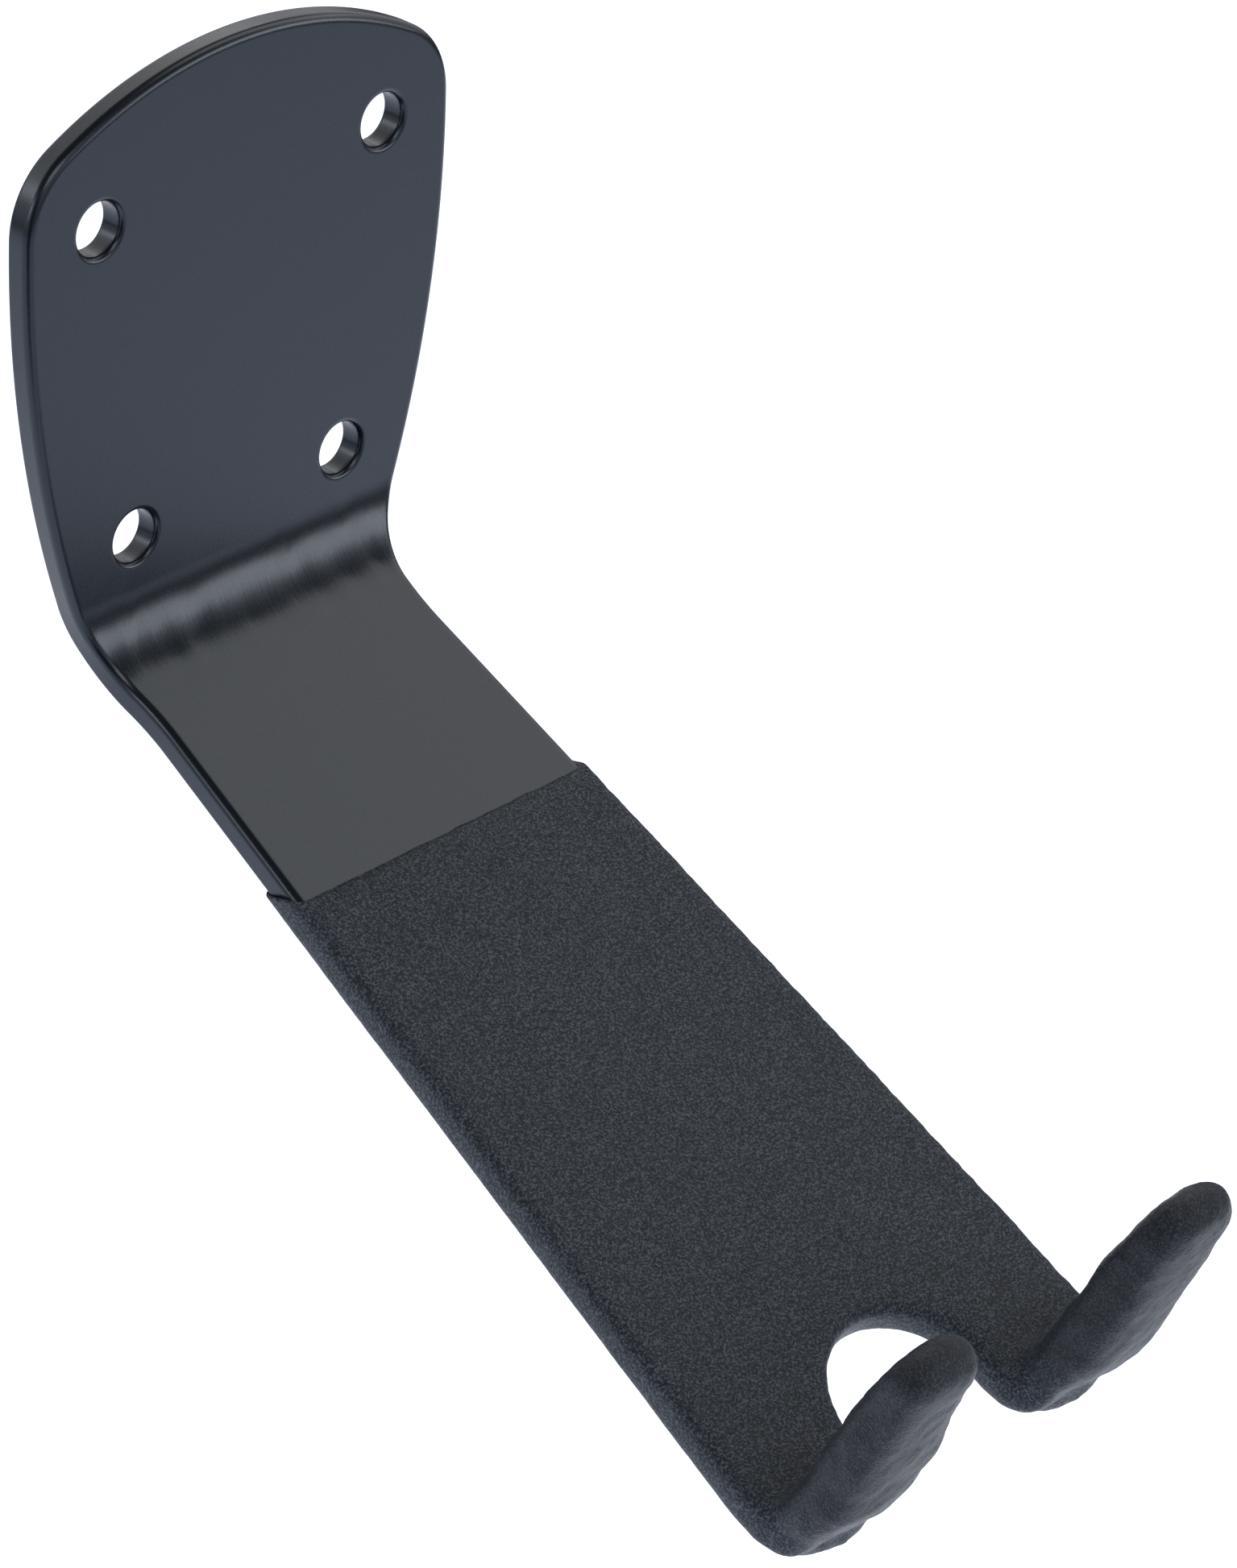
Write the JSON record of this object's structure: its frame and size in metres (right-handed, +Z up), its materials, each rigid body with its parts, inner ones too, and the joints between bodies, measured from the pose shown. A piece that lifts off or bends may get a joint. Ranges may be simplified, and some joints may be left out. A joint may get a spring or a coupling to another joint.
{
  "type": "bicycle wall rack",
  "caption": "Bent steel wall bracket that holds a bicycle by one pedal, with a soft dipped coat over its sloping arm and upturned prongs.",
  "frame": {"origin": "middle of the four screw holes, on the plate's back face, which lies on the wall", "axes": "+Y into the wall, +Z up, +X to the right as seen from the room"},
  "size_m": [0.0806, 0.1667, 0.1644],
  "materials": {
    "powder_coat": "blue-grey black powder coat, satin, with a fine orange-peel texture",
    "soft_dip": "matt charcoal soft dip with a fine suede-like grain"
  },
  "bodies": {
    "root": {"steel_bracket": "powder_coat", "dipped_sleeve": "soft_dip"}
  },
  "joints": []
}
